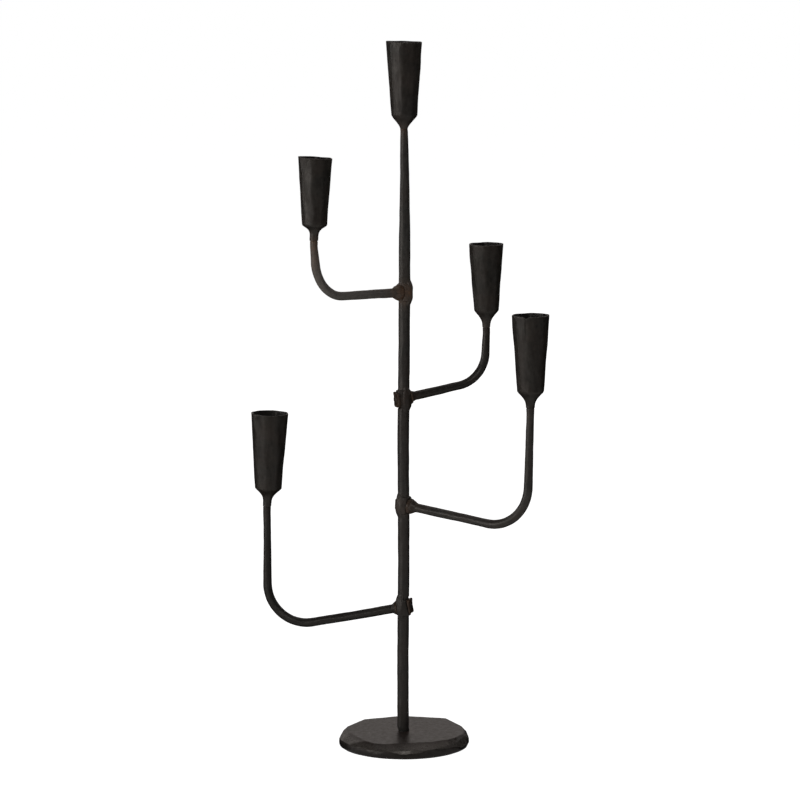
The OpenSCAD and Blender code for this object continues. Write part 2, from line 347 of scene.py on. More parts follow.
def cup(name, seat_name, node):
    seat = seats[seat_name + "_candle_seat"]
    tree = tree_of(node)
    axis = Axis(seat["pos_m"], seat["axis"], RIGHT)
    half_seat = seat["dims"]["length_mm"] * MM / 2
    low, high = axis.span(node)
    floor = -half_seat
    neck_top = floor - CUP_FLOOR
    rng = np.random.default_rng(len(name) + 11)
    rows, outer, hole_r, wall_r = cup_rows(tree, axis, low, high, floor)

    kinds = np.array([row[0] for row in rows])
    is_outer = kinds == "outer"
    is_inner = kinds == "inner"
    height = np.array([row[1] for row in rows])[:, None] * np.ones((1, CUP_COLUMNS))
    radius = np.array([row[2] for row in rows])[:, None] * np.ones((1, CUP_COLUMNS))
    theta = np.arange(CUP_COLUMNS) * 2 * math.pi / CUP_COLUMNS
    theta = np.ones((len(rows), 1)) * theta[None, :]
    outer_r = np.interp(height[:, 0], [h for h, _ in outer], [r for _, r in outer])[:, None]
    body_low = low + 0.75 * (floor - low)
    share = (height - body_low) / (high - body_low)
    grow = cup_growth(seat_name, rng, share, theta, outer_r, height, is_outer)

    pinch, swell, shift = CUP_NECK[seat_name]
    foot_r = outer[0][1]
    full_r = axis.outside(tree, neck_top)
    necked = np.clip((radius - foot_r) / (full_r - foot_r), 0, 1)
    drawn = foot_r + swell * MM + (full_r - foot_r - swell * MM) * necked ** pinch
    new_radius = np.where(is_outer[:, None] & (height < neck_top), drawn, radius)
    new_radius[is_outer] += grow[is_outer]
    open_share = smooth_step(height - half_seat, 0.5 * MM, 14 * MM)
    new_radius[is_inner] += (grow * open_share)[is_inner]
    new_height = height + rim_lift(seat_name, rng, theta, height, high) * (is_outer | is_inner)[:, None]

    flat = point_grid(axis, new_radius, theta, new_height).reshape(-1, 3)
    fine = ripple(flat, 6 * MM, len(name), 3.2) * 0.2 * MM
    fine += ripple(flat, 2.4 * MM, len(name) + 4, 7) * 0.11 * MM
    fine += ripple(flat, 2.6 * MM, 3, 1.6) * 0.08 * MM
    fine += ripple(flat, 1.2 * MM, 9) * 0.03 * MM
    keep = np.where(is_outer[:, None], smooth_step(height, low, low + 3 * MM), 0.0)
    points = point_grid(axis, new_radius + fine.reshape(theta.shape) * keep, theta, new_height)
    across = np.clip((radius - hole_r) / (wall_r - hole_r), 0, 1)
    aside = np.where((kinds == "floor")[:, None], across, smooth_step(height, low, neck_top))
    aside = np.where((kinds == "hole")[:, None], 0.0, aside)
    points[..., 0] += shift * MM * aside

    made = make_object(name, points.reshape(-1, 3), grid_faces(len(rows), CUP_COLUMNS, True))
    edge = np.exp(-np.abs(high - height) / (0.6 * MM)) * is_outer[:, None]
    ridge = np.clip(grow / (0.5 * MM), 0, 1) * is_outer[:, None] * smooth_step(share, -0.22, 0.05)
    neck = (1 - smooth_step(share, -0.35, 0.12)) * is_outer[:, None]
    # painted shade: the inside walls and floor of the cup are darkened
    hollow = is_inner[:, None] | (kinds == "floor")[:, None]
    attributes_from(made, points, {"wear": np.maximum(edge * 0.5, ridge * 0.2),
                                   "fired": neck * FIRED[seat_name] * np.ones_like(theta),
                                   "darkening_and_painted_shade": hollow * np.ones_like(theta),
                                   "dust_rust_and_painted_light": neck * CUP_RUST[seat_name] * np.ones_like(theta)})
    return made


def point_grid(axis, radius, theta, height):
    origin = np.array(axis.origin)
    along = np.array(axis.along)
    side = np.array(axis.side)
    across = np.array(axis.across)
    return (origin + height[..., None] * along
            + (radius * np.cos(theta))[..., None] * side
            + (radius * np.sin(theta))[..., None] * across)


def attributes_from(made, points, layers):
    """Writes each layer's value on the vertex nearest to where it was worked out."""
    flat = points.reshape(-1, 3)
    finder = KDTree(len(flat))
    for i, point in enumerate(flat):
        finder.insert(point, i)
    finder.balance()
    order = [finder.find(vertex.co)[1] for vertex in made.data.vertices]
    for name, values in layers.items():
        write_attribute(made, name, values.reshape(-1)[order])


# ---- collars and burrs ----

RING_COLUMNS = 128
# How rusty each collar is
RING_RUST = {"upper_left": 0.3, "upper_right": 0.0, "lower_right": 0.1, "lower_left": 0.0}


def forged_ring(name, node, axis, blows, depth, seed, fired, rust=0.0, wedge=0.0):
    """A thick washer or a clipped square plate with a hammered edge.

    A wedge thickens it outwards, so that its outer face stands more upright than its inner one.
    """
    tree = tree_of(node)
    low, high = axis.span(node)
    middle = (low + high) / 2
    thick = high - low
    bore = axis.inside(tree, middle)
    turns = np.arange(RING_COLUMNS) * 2 * math.pi / RING_COLUMNS
    ways = [axis.side * math.cos(turn) + axis.across * math.sin(turn) for turn in turns]
    outline = np.array([axis.outside(tree, middle, way, 20 * MM) for way in ways])
    rng = np.random.default_rng(seed)
    bevel = min(0.3 * thick, 0.7 * MM)
    rows = [(None, 0.0, low), (0.7, 0.0, low)]
    bends = [math.radians(turn) for turn in (0, 22, 45, 68, 90)]
    rows += [(1.0, bevel * (1 - math.sin(bend)), low + bevel * (1 - math.cos(bend))) for bend in bends]
    rows.append((1.0, -0.05 * MM, middle))
    rows += [(1.0, bevel * (1 - math.sin(bend)), high - bevel * (1 - math.cos(bend)))
             for bend in reversed(bends)]
    rows += [(0.7, 0.0, high), (None, 0.0, high)]
    theta = np.ones((len(rows), 1)) * turns[None, :]
    radius = np.array([np.full(RING_COLUMNS, bore) if share is None else outline * share - inset
                       for share, inset, _ in rows])
    height = np.array([h for _, _, h in rows])[:, None] * np.ones_like(theta)
    start = rng.uniform(0, 2 * math.pi)
    marks = [(start + 2 * math.pi * (k + rng.uniform(-0.2, 0.2)) / blows,
              middle + rng.uniform(-0.2, 0.2) * thick,
              depth * rng.uniform(0.4, 1.5), thick * 1.5) for k in range(blows)]
    widest = outline.max()
    flats = hammered(np.full_like(theta, widest), theta, height, marks, 0.1 * MM)
    rim = smooth_step(radius / outline, 0.6, 0.9)
    worked = np.minimum(radius, radius * flats / widest)
    radius = radius + (worked - radius) * rim
    outwards = (high - height) / thick
    height = height + np.minimum(radius * np.cos(theta) * wedge, 0) * outwards
    points = point_grid(axis, radius, theta, height)
    flat = points.reshape(-1, 3)
    lumps = ripple(flat, 4 * MM, seed).reshape(theta.shape) * 0.3 * MM
    lumps += ripple(flat, 1.5 * MM, seed + 1).reshape(theta.shape) * 0.1 * MM
    points = point_grid(axis, radius + lumps * rim, theta, height)
    made = make_object(name, points.reshape(-1, 3), grid_faces(len(rows), RING_COLUMNS, True), 50)
    insets = np.array([inset for _, inset, _ in rows])[:, None]
    edge = (insets > 0) * (insets < 0.9 * bevel) * np.ones_like(theta)
    attributes_from(made, points, {"wear": edge * 0.4, "fired": fired * np.ones_like(theta),
                                   "darkening_and_painted_shade": np.zeros_like(theta),
                                   "dust_rust_and_painted_light": rust * np.ones_like(theta)})
    return made


# ---- arms ----

ARM_COLUMNS = 48
WALK_STEP = 0.6 * MM
WALK_START = 19 * MM
WALK_STOP = 4.5 * MM
WALK_LIMIT = 2000
# The walk's rays lean off the plane of the bend a little, so that none runs along an edge
WALK_LEAN = 0.013
# How much thicker a bar is just under its cup, and all along
TIP_UPSET = 0.45 * MM
ARM_SWELL = 0.08 * MM
# How much each arm is paled, by pale dust and painted light, and darkened by painted shade
ARM_DUST_LIGHT_AND_SHADE = {"upper_left": (1.0, 0.0), "upper_right": (0.0, 0.4), "lower_right": (0.1, 0.0),
              "lower_left": (0.0, 0.45)}


def walk(tree, axis, plane, start, goal):
    """Follows a bent bar's centreline from start until it is close to goal."""
    rows = []
    point = axis.at(start)
    heading = axis.along.copy()
    for _ in range(WALK_LIMIT):
        beside = plane.cross(heading).normalized()
        probe = (beside + plane * WALK_LEAN).normalized()
        up = reach(tree, point, probe)
        down = reach(tree, point, -probe)
        if up is None or down is None:
            break
        point = point + beside * (up - down) / 2
        rows.append([point.copy(), heading.copy(), (up + down) / 2])
        if len(rows) > 4:
            heading = (rows[-1][0] - rows[-5][0]).normalized()
        if (point - goal).length < WALK_STOP:
            break
        point = point + heading * WALK_STEP
    return rows


def smoothed(values, reach_rows):
    """Moving average that keeps its ends."""
    values = np.asarray(values, dtype=float)
    result = values.copy()
    for i in range(len(values)):
        span = min(reach_rows, i, len(values) - 1 - i)
        result[i] = values[i - span:i + span + 1].mean(axis=0)
    return result


def arm_line(tree, axis, cup_axis, low, foot_h, tip_h):
    """The arm's centreline: centres, distances along it, radii, headings, and the cup's place.

    It is the tenon's straight line, then the bent bar, then the tenon under the cup.
    """
    root = profile(lambda h: axis.outside(tree, h, axis.across, 18 * MM),
                   low + 0.01 * MM, WALK_START, 0.22 * MM)
    bent = walk(tree, axis, -axis.across, WALK_START + WALK_STEP, cup_axis.at(foot_h))
    head = profile(lambda h: cup_axis.outside(tree, h, cup_axis.across, 14 * MM),
                   foot_h - 3.6 * MM, tip_h - 0.16 * MM, 0.25 * MM)
    first = len(root)
    last = first + len(bent)
    centres = [axis.at(h) for h, _ in root] + [row[0] for row in bent]
    places = [h for h, _ in root]
    for i in range(first, last):
        places.append(places[-1] + (centres[i] - centres[i - 1]).length)
    head_start = places[-1] + 0.9 * MM
    places += [head_start + h - head[0][0] for h, _ in head]
    centres = np.array(centres + [cup_axis.at(h) for h, _ in head])
    radii = [r for _, r in root] + list(smoothed([row[2] for row in bent], 4)) + [r for _, r in head]
    headings = np.zeros_like(centres)
    headings[:first] = axis.along
    headings[last:] = cup_axis.along
    for i in range(first, last):
        a = max(i - 3, first - 1)
        b = min(i + 3, last)
        headings[i] = Vector(centres[b] - centres[a]).normalized()
    return centres, np.array(places), np.array(radii), headings, head_start + foot_h - head[0][0]


def arm(name, branch, node, seed):
    joint = joints[branch + "_branch"]
    tree = tree_of(node)
    axis = Axis(joint["pos_m"], joint["axis"], UP)
    seat = seats[branch + "_candle_seat"]
    cup_axis = Axis(seat["pos_m"], seat["axis"], RIGHT)
    foot_h = cup_axis.span(branch + "_cup")[0]
    low = axis.span(node)[0]
    tip_h = -seat["dims"]["length_mm"] * MM / 2
    centres, places, radii, headings, foot_place = arm_line(tree, axis, cup_axis, low, foot_h, tip_h)

    rng = np.random.default_rng(seed)
    collar_top = axis.span(branch + "_collar")[1]
    blows = scattered_blows(rng, collar_top + 8 * MM, foot_place, 11 * MM, 0.035)
    blows += scattered_blows(rng, collar_top + 1.5 * MM, collar_top + 7 * MM, 3.2 * MM, 0.05)
    theta, worked = hammer_bar(radii, places, ARM_COLUMNS, blows, 0.06 * MM, 14 * MM)
    free = smooth_step(places, collar_top + 0.2 * MM, collar_top + 1.2 * MM)
    free *= 1 - smooth_step(places, foot_place - 1.2 * MM, foot_place - 0.2 * MM)
    new_radii = radii[:, None] + (worked - radii[:, None]) * free[:, None]
    upset = TIP_UPSET * np.exp(-np.clip(foot_place - places, 0, None) / (15 * MM)) + ARM_SWELL
    new_radii += (upset * free)[:, None]

    plane = -np.array(axis.across)
    beside = np.cross(plane, headings)

    def ring_points(r):
        return (centres[:, None, :]
                + (r * np.cos(theta))[..., None] * beside[:, None, :]
                + (r * np.sin(theta))[..., None] * plane)

    sway = ripple(centres, 45 * MM, seed) * 0.35 * MM * free
    sway *= smooth_step(places, collar_top + 8 * MM, collar_top + 30 * MM)
    sway *= 1 - smooth_step(places, foot_place - 25 * MM, foot_place - 5 * MM)
    centres = centres + beside * sway[:, None]
    flat = ring_points(new_radii).reshape(-1, 3)
    lumps = ripple(flat, 6 * MM, seed + 1) * 0.1 * MM + ripple(flat, 2 * MM, seed + 2) * 0.04 * MM
    points = ring_points(new_radii + lumps.reshape(new_radii.shape) * free[:, None])
    tip = centres[0] - np.array(axis.along) * 0.02 * MM
    end = centres[-1] + np.array(cup_axis.along) * 0.02 * MM
    vertices, faces = capped_bar(points, tip, end)
    made = make_object(name, vertices, faces)

    fired = np.exp(-np.clip(places - collar_top, 0, None) / (14 * MM))
    fired = np.maximum(fired, np.exp(-np.clip(foot_place - places, 0, None) / (24 * MM)) * 0.9)
    fired = (fired * FIRED[branch])[:, None] * np.ones_like(new_radii)
    ridge = np.clip((new_radii - radii[:, None]) / (0.1 * MM), 0, 1)
    ends = np.zeros(2)
    # the arm's paling, dust with painted light, and its painted shade, even along the whole bar
    dust_rust_and_painted_light, darkening_and_painted_shade = ARM_DUST_LIGHT_AND_SHADE[branch]
    layers = {"wear": np.append(ridge * 0.4, ends), "darkening_and_painted_shade": np.full(len(vertices), darkening_and_painted_shade),
              "dust_rust_and_painted_light": np.append(dust_rust_and_painted_light * (1 - 0.6 * fired), ends), "fired": np.append(fired, ends + 1)}
    attributes_from(made, np.array(vertices), layers)
    return made


# ---- stem ----

STEM_COLUMNS = 96
STEM_STEP = 0.9 * MM
EYE_REACH = 16 * MM
# How much wider a seat is than the collar or burr that turns in it
SEAT_ROOM = 0.4 * MM
# How much thicker the bar is than its CAD solid below SWELL_FADES, and what is left of that above
BAR_SWELL = 0.34 * MM
SWELL_FADES = (470 * MM, 540 * MM)
SWELL_LEFT = 0.2
CUTTER_COLUMNS = 64
# How far the stem wanders to the right, in millimetres: (height, wander)
STEM_WANDER = [(0, -0.7), (85, -0.95), (141, -0.5), (190, -0.15), (246, -0.3), (310, -0.7), (354, -0.2),
               (460, 0.55), (560, 0.75), (623, 0.2)]
# How much painted shade darkens the stem round an eye, and how rusty the stem is round an eye
EYE_PAINTED_SHADE = {"upper_right": 0.4, "lower_left": 0.45}
EYE_RUST = {"upper_left": 0.45, "lower_right": 0.15}
# The side of each eye whose seat was cut square above and below: the arm's side or the burr's side
EYE_BLOCKS = {"upper_left": 1, "upper_right": -1, "lower_right": 1, "lower_left": -1}
# How far above and below the eye's centre it was cut
BLOCK_HALF = 8.2 * MM
# A fold that drifting left in one eye: its direction from +X in degrees, and its depth
EYE_FOLDS = {"upper_right": (262, 0.7 * MM)}


def cutter(name, axis, low, high, radius):
    """A closed round plug used to cut a hole, then thrown away."""
    columns = CUTTER_COLUMNS
    theta = np.ones((2, 1)) * (np.arange(columns) * 2 * math.pi / columns)[None, :]
    height = np.array([[low], [high]]) * np.ones_like(theta)
    points = point_grid(axis, np.full_like(theta, radius), theta, height).reshape(-1, 3)
    faces = grid_faces(2, columns, False)
    faces.append(tuple(range(columns)))
    faces.append(tuple(range(2 * columns - 1, columns - 1, -1)))
    return make_object(name, points, faces)


def cut(target, tools):
    for tool in tools:
        change = target.modifiers.new("cut", "BOOLEAN")
        change.operation = "DIFFERENCE"
        change.solver = "EXACT"
        change.object = tool
    bpy.context.view_layer.update()
    seen = bpy.context.evaluated_depsgraph_get()
    mesh = bpy.data.meshes.new_from_object(target.evaluated_get(seen))
    target.modifiers.clear()
    target.data = mesh
    for tool in tools:
        bpy.data.objects.remove(tool)


def read_eye(tree, branch):
    """What an eye looks like: its axis, cheeks, bore and seats, its heat colour and rust, and its painted shade.
    """
    joint = joints[branch + "_branch"]
    tenon = Axis(joint["pos_m"], joint["axis"], UP)
    far = 20 * MM
    face = far - reach(tree, tenon.at(far) + tenon.across * 5.5 * MM, -tenon.along)
    fixed = [(1, tree_of(branch + "_collar")), (-1, tree_of(branch + "_burr"))]
    return {"axis": tenon, "z": tenon.origin.z, "face": face, "block": EYE_BLOCKS[branch],
            "fold": EYE_FOLDS.get(branch), "darkening_and_painted_shade": EYE_PAINTED_SHADE.get(branch, 0.0),
            "rust": EYE_RUST.get(branch, 0.0), "fired": FIRED[branch],
            "bore": reach(tree, tenon.origin, tenon.side),
            "seats": [(side, tenon.widest(beside, side * (face + 1 * MM), far) + SEAT_ROOM)
                      for side, beside in fixed]}


def shaped_eye(eye, rng, theta, heights, radii, bar, plain):
    """The stem's surface near one eye: swollen, with flat cheeks, squared beside its block."""
    tenon = eye["axis"]
    level = Vector((tenon.along.x, tenon.along.y, 0))
    facing = np.cos(wrap(theta - math.atan2(level.y, level.x)))[None, :]
    offset = (heights - eye["z"])[:, None]
    cheek = (eye["face"] - offset * tenon.along.z * np.sign(facing))
    cheek = cheek / (np.abs(facing) * level.length + 1e-6)
    swell = radii[:, None] * np.ones_like(facing)
    lumps = scattered_blows(rng, eye["z"] - 12 * MM, eye["z"] + 12 * MM, 6 * MM, 0.05)
    lumpy = hammer_bar(radii, heights, STEM_COLUMNS, lumps, 0.1 * MM, 8 * MM)[1]
    proud = smooth_step(swell, bar[:, None] * 1.01, bar[:, None] * 1.15)
    swell = np.minimum(swell + (lumpy - swell) * proud, cheek)
    squared = smooth_step(facing * eye["block"], 0.12, 0.35)
    squared = squared * smooth_step(np.abs(offset), BLOCK_HALF, BLOCK_HALF + 0.5 * MM)
    shaped = np.maximum(plain, swell)
    shaped = shaped + (plain - shaped) * squared
    if eye["fold"]:
        angle, depth = eye["fold"]
        groove = np.exp(-(wrap(theta - math.radians(angle)) / 0.09) ** 2)[None, :]
        shaped = shaped - depth * groove * (1 - smooth_step(np.abs(offset), 6 * MM, 11 * MM))
    return shaped


def eye_cutters(eye):
    """Plugs for an eye's bore and for the two seats that its collar and burr turn in."""
    tenon = eye["axis"]
    tools = [cutter("bore_cutter", tenon, -20 * MM, 20 * MM, eye["bore"])]
    for side, room in eye["seats"]:
        way = Axis(tenon.origin, tenon.along * side, UP)
        tools.append(cutter("seat_cutter", way, eye["face"], eye["face"] + 6 * MM, room))
    return tools


def stem(name, node, seed):
    tree = tree_of(node)
    axis = Axis((0, 0, 0), UP, RIGHT)
    low, high = axis.span(node)
    eyes = [read_eye(tree, branch) for branch in branches]

    def radius_at(height):
        nearest = min(eyes, key=lambda eye: abs(eye["z"] - height))
        return axis.outside(tree, height, nearest["axis"].across)

    rows = profile(radius_at, low + 0.01 * MM, high - 0.01 * MM, STEM_STEP)
    heights = np.array([h for h, _ in rows])
    radii = np.array([r for _, r in rows])
    bar = radii.copy()
    for eye in eyes:
        eye["near"] = np.abs(heights - eye["z"]) < EYE_REACH
        ends = [eye["z"] - EYE_REACH, eye["z"] + EYE_REACH]
        beyond = [radii[heights < ends[0]][-1], radii[heights > ends[1]][0]]
        bar[eye["near"]] = np.interp(heights[eye["near"]], ends, beyond)

    rng = np.random.default_rng(seed)
    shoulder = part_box("foot")[1].z
    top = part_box("top_cup")[0].z
    blows = scattered_blows(rng, shoulder + 5 * MM, top - 2 * MM, 14 * MM, 0.03, 6)
    theta, worked = hammer_bar(bar, heights, STEM_COLUMNS, blows, 0.07 * MM, 17 * MM)
    free = smooth_step(heights, shoulder + 0.5 * MM, shoulder + 4 * MM)
    free *= 1 - smooth_step(heights, top - 3 * MM, top - 0.4 * MM)
    grown = worked - bar[:, None]
    swell = BAR_SWELL * (1 - (1 - SWELL_LEFT) * smooth_step(heights, *SWELL_FADES))
    grown += swell[:, None] - grown.mean(axis=1, keepdims=True)
    surface = bar[:, None] + grown * free[:, None]
    wear = np.clip((surface - bar[:, None]) / (0.1 * MM), 0, 1) * 0.5
    fired = np.exp(-np.abs(top - heights) / (9 * MM)) * 0.7
    # the stem is darker towards the bottom and paler towards the top
    darkening_and_painted_shade = 0.22 * (1 - smooth_step(heights, 90 * MM, 300 * MM))
    dust_rust_and_painted_light = 0.12 * smooth_step(heights, 400 * MM, 500 * MM)
    for eye in eyes:
        near = eye["near"]
        surface[near] = shaped_eye(eye, rng, theta, heights[near], radii[near], bar[near], surface[near])
        close = np.exp(-(np.abs(heights - eye["z"]) / (13 * MM)) ** 2)
        fired = np.maximum(fired, close * eye["fired"])
        # painted shade darkens the stem round the back arms' eyes; rust pales it round the front ones
        darkening_and_painted_shade = np.maximum(darkening_and_painted_shade, close * eye["darkening_and_painted_shade"])
        dust_rust_and_painted_light = np.maximum(dust_rust_and_painted_light, close * eye["rust"])

    # the bar was trued by eye, so it wanders a little between the eyes
    wander = np.interp(heights / MM, [z for z, _ in STEM_WANDER], [x for _, x in STEM_WANDER]) * MM
    angle = np.ones((len(heights), 1)) * theta[None, :]
    tall = heights[:, None] * np.ones_like(angle)
    flat = point_grid(axis, surface, angle, tall).reshape(-1, 3)
    lumps = ripple(flat, 7 * MM, seed + 1) * 0.12 * MM + ripple(flat, 2.2 * MM, seed + 2) * 0.04 * MM
    surface = surface + lumps.reshape(surface.shape) * free[:, None]
    points = point_grid(axis, surface, angle, tall)
    points[..., 0] += (smoothed(wander, 12) * free)[:, None]
    vertices, faces = capped_bar(points, points[0].mean(axis=0), points[-1].mean(axis=0))
    made = make_object(name, vertices, faces)
    cut(made, [tool for eye in eyes for tool in eye_cutters(eye)])
    made.data.shade_smooth()
    made.data.set_sharp_from_angle(angle=math.radians(38))

    layers = {"wear": wear}
    for layer, values in (("fired", fired), ("darkening_and_painted_shade", darkening_and_painted_shade), ("dust_rust_and_painted_light", dust_rust_and_painted_light)):
        layers[layer] = values[:, None] * np.ones_like(surface)
    layers = {layer: np.append(values, np.zeros(2)) for layer, values in layers.items()}
    attributes_from(made, np.array(vertices), layers)
    return made


# ---- foot ----

FOOT_COLUMNS = 540
FOOT_UNDERCUT = 0.5 * MM
# The foot's outline is round in front and sheared straighter at the back:
# (direction from +X in degrees, how far the straight lies inside the full radius in mm)
FOOT_SIDES = [(-8, .4), (10, .9), (25.5, 2.7), (77.5, 3.9), (110.4, 5.5), (150.7, 5.4), (169, 3.1),
              (204, .4), (231, .2), (262, .15), (322, .2)]
# The hammered bevels of its top edge: (direction, how far inside the full radius in mm, slope in degrees)
FOOT_BEVELS = [(8, 5.0, 45), (25.5, 4.7, 60), (77.5, 6.0, 62), (110.4, 7.4, 62), (150.7, 7.3, 58),
               (168.8, 6.4, 42), (186, 10.6, 29), (205, 13.0, 23), (221, 9.0, 31), (238, 5.2, 48),
               (252, 7.0, 38), (266, 8.5, 34), (281, 15.5, 18), (301, 12.0, 21), (317, 8.6, 26),
               (334, 6.6, 34), (352, 5.0, 42)]
# Small chips along the back of the edge, and the directions between which there are none
FOOT_CHIPS = 40
CHIP_FREE = (10, 172)
# The least height of the edge, and the share of the radius where the outline begins to shape the top
FOOT_EDGE = 3.2 * MM
FOOT_MIDDLE = 0.76


def foot_outline(theta, full):
    """Radius of the foot's edge in every direction."""
    behind = smooth_step(np.sin(theta), 0.1, 0.5)
    sides = [full * (1 + 0.025 * behind)]
    for angle, inset in FOOT_SIDES:
        turn = wrap(theta - math.radians(angle))
        sides.append((full - inset * MM) / np.cos(np.clip(turn, -0.7, 0.7)))
    return soft_min(np.array(sides), 0.15 * MM)


def chipped_bevels(rng):
    """The hammered bevels, and small chips along the back."""
    bevels = list(FOOT_BEVELS)
    for k in range(FOOT_CHIPS):
        place = 360 * (k + rng.uniform(-0.4, 0.4)) / FOOT_CHIPS
        if not CHIP_FREE[0] <= place <= CHIP_FREE[1]:
            bevels.append((place, rng.uniform(1.4, 4.4), rng.uniform(54, 70)))
    return bevels


def foot(name, node, seed):
    tree = tree_of(node)
    axis = Axis((0, 0, 0), UP, RIGHT)
    low, high = axis.span(node)
    thick = high - low
    full = max(axis.outside(tree, low + thick * share, far=90 * MM) for share in (0.3, 0.45, 0.6))
    hole = profile(lambda h: axis.inside(tree, h), low + 0.02 * MM, high - 0.02 * MM, 0.6 * MM)
    theta = np.arange(FOOT_COLUMNS) * 2 * math.pi / FOOT_COLUMNS
    outline = foot_outline(theta, full)
    bevels = chipped_bevels(np.random.default_rng(seed))

    def top_height(radius):
        """Height of the upper surface over points at these radii, one per column."""
        planes = [np.full(FOOT_COLUMNS, high)]
        for angle, inset, slope in bevels:
            turn = wrap(theta - math.radians(angle))
            near = np.cos(np.clip(turn, -0.8, 0.8))
            fall = (radius * near - full + inset * MM) * math.tan(math.radians(slope))
            planes.append(high - fall)
        return np.maximum(soft_min(np.array(planes), 0.14 * MM), low + FOOT_EDGE)

    rings = [np.full(FOOT_COLUMNS, radius)
             for radius in np.linspace(hole[-1][1], FOOT_MIDDLE * full, 40)]
    for share in np.linspace(FOOT_MIDDLE + 0.005, 0.998, 62):
        blend = (share - FOOT_MIDDLE) / (1 - FOOT_MIDDLE)
        rings.append(full * share * (1 - blend) + outline * share * blend)
    table = [("top", ring, top_height(ring)) for ring in rings]
    edge_h = top_height(outline)
    under = outline - FOOT_UNDERCUT
    for drop in np.linspace(0.0, 1.0, 16):
        belly = 0.35 * MM * math.sin(drop * math.pi)
        end = smooth_step(drop, 0.8, 1.0)
        ring = (outline + belly) * (1 - end) + under * end
        table.append(("side", ring, edge_h * (1 - drop) + low * drop))
    for share in (0.98, 0.9, 0.75, 0.6, 0.45, 0.3, 0.2):
        table.append(("under", under * share, np.full(FOOT_COLUMNS, low)))
    table += [("hole", np.full(FOOT_COLUMNS, r), np.full(FOOT_COLUMNS, h)) for h, r in hole]

    is_top = np.array([row[0] == "top" for row in table])[:, None]
    is_side = np.array([row[0] == "side" for row in table])[:, None]
    radius = np.array([row[1] for row in table])
    height = np.array([row[2] for row in table])
    shape = radius.shape
    angle = np.ones((len(table), 1)) * theta[None, :]
    flat = point_grid(axis, radius, angle, height).reshape(-1, 3)
    slow = ripple(flat, 16 * MM, seed + 1).reshape(shape) * MM
    quick = ripple(flat, 4 * MM, seed + 2).reshape(shape) * MM
    tiny = ripple(flat, 1.6 * MM, seed + 3).reshape(shape) * MM
    sink = np.abs(slow) * 0.28 + np.abs(quick) * 0.09 + np.abs(tiny) * 0.03
    height = np.where(is_top, height - sink * smooth_step(radius, 7 * MM, 14 * MM), height)
    low_fade = smooth_step(height, low + 0.2 * MM, low + 2 * MM)
    radius = np.where(is_side, radius + (quick * 0.22 + tiny * 0.07 + slow * 0.25) * low_fade, radius)
    points = point_grid(axis, radius, angle, height)
    made = make_object(name, points.reshape(-1, 3), grid_faces(len(table), FOOT_COLUMNS, True), 50)

    fall = np.clip((high - height) / (2.5 * MM), 0, 1) * is_top
    # painted contact shade: the foot's side darkens towards the floor
    painted_contact_shade = 0.85 * (1 - smooth_step(height, low + 2.5 * MM, low + 10 * MM))
    fired = is_top * (0.3 + 0.7 * np.exp(-(radius - 5 * MM) / (9 * MM)))
    attributes_from(made, points, {"wear": np.maximum(fall, is_side * 0.25),
                                   "fired": fired,
                                   "darkening_and_painted_shade": is_side * painted_contact_shade,
                                   "dust_rust_and_painted_light": np.zeros(shape)})
    return made


# ---- materials ----

def add(tree, kind, **values):
    node = tree.nodes.new(kind)
    for key, value in values.items():
        if hasattr(node, key):
            setattr(node, key, value)
        else:
            node.inputs[key].default_value = value
    return node


def noise_node(tree, coords, scale, detail, rough, seed, stretch=1.0):
    shift = add(tree, "ShaderNodeMapping")
    shift.inputs["Scale"].default_value = (1, 1, 1 / stretch)
    shift.inputs["Location"].default_value = (seed * 0.37, seed * 0.21, seed * 0.53)
    tree.links.new(coords, shift.inputs["Vector"])
    made = add(tree, "ShaderNodeTexNoise")
    made.inputs["Scale"].default_value = scale
    made.inputs["Detail"].default_value = detail
    made.inputs["Roughness"].default_value = rough
    tree.links.new(shift.outputs["Vector"], made.inputs["Vector"])
    return made.outputs["Fac"]


def remap(tree, value, low, high, to_low, to_high):
    made = add(tree, "ShaderNodeMapRange")
    made.inputs["From Min"].default_value = low
    made.inputs["From Max"].default_value = high
    made.inputs["To Min"].default_value = to_low
    made.inputs["To Max"].default_value = to_high
    tree.links.new(value, made.inputs["Value"])
    return made.outputs["Result"]


def math_node(tree, operation, a, b):
    made = add(tree, "ShaderNodeMath", operation=operation)
    for socket, value in ((made.inputs[0], a), (made.inputs[1], b)):
        if isinstance(value, (int, float)):
            socket.default_value = value
        else:
            tree.links.new(value, socket)
    return made.outputs[0]


def mix_colour(tree, share, a, b):
    made = add(tree, "ShaderNodeMix", data_type="RGBA")
    tree.links.new(share, made.inputs[0])
    for socket, value in ((made.inputs[6], a), (made.inputs[7], b)):
        if isinstance(value, tuple):
            socket.default_value = (*value, 1)
        else:
            tree.links.new(value, socket)
    return made.outputs[2]


def attribute(tree, name):
    made = add(tree, "ShaderNodeAttribute")
    made.attribute_type = "GEOMETRY"
    made.attribute_name = name
    return made.outputs["Fac"]


def linear(*srgb):
    return tuple(((c / 255 + 0.055) / 1.055) ** 2.4 if c > 10 else c / 255 / 12.92 for c in srgb)


# Pale grey for dust, and for the painted light on the upper left arm
PALE_DUST_AND_LIGHT = linear(134, 130, 125)
RUST = linear(140, 108, 84)
OIL_TINT = (1.0, 0.93, 0.87)
# Sizes of the scale's pattern, as noise scales in cycles per metre
BROAD, MIDDLING, FINE, STREAKS, PITS = 45, 210, 900, 420, 420
STREAK_LENGTH = 7
# Share of the dark colour that is kept under painted shade and darkening
DARKENING_AND_SHADE_SHARE = 0.4
RELIEF = 0.35 * MM


